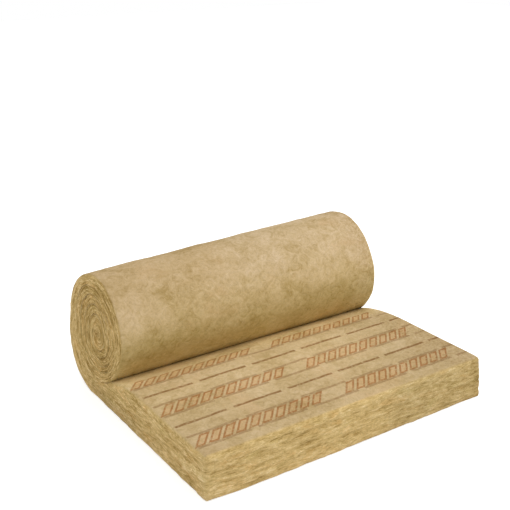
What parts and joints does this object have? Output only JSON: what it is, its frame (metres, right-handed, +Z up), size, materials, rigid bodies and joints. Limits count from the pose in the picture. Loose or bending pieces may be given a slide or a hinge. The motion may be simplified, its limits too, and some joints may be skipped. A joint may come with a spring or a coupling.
{
  "type": "mineral wool insulation roll",
  "caption": "Thick mineral wool mat, partly unrolled: a flat run with a square free end that leads into a wound roll with its spiral turns open at both ends.",
  "frame": {"origin": "on the floor, under the middle of the part's bounding box", "axes": "+X along the roll, across the mat's width; +Y from the free end towards the roll; +Z up"},
  "size_m": [1.2, 1.058, 0.5195],
  "materials": {
    "wool": "matt felted mineral wool, tan, with brown cutting guides printed across the upper face"
  },
  "bodies": {
    "root": {"wool_mat": "wool"}
  },
  "joints": []
}
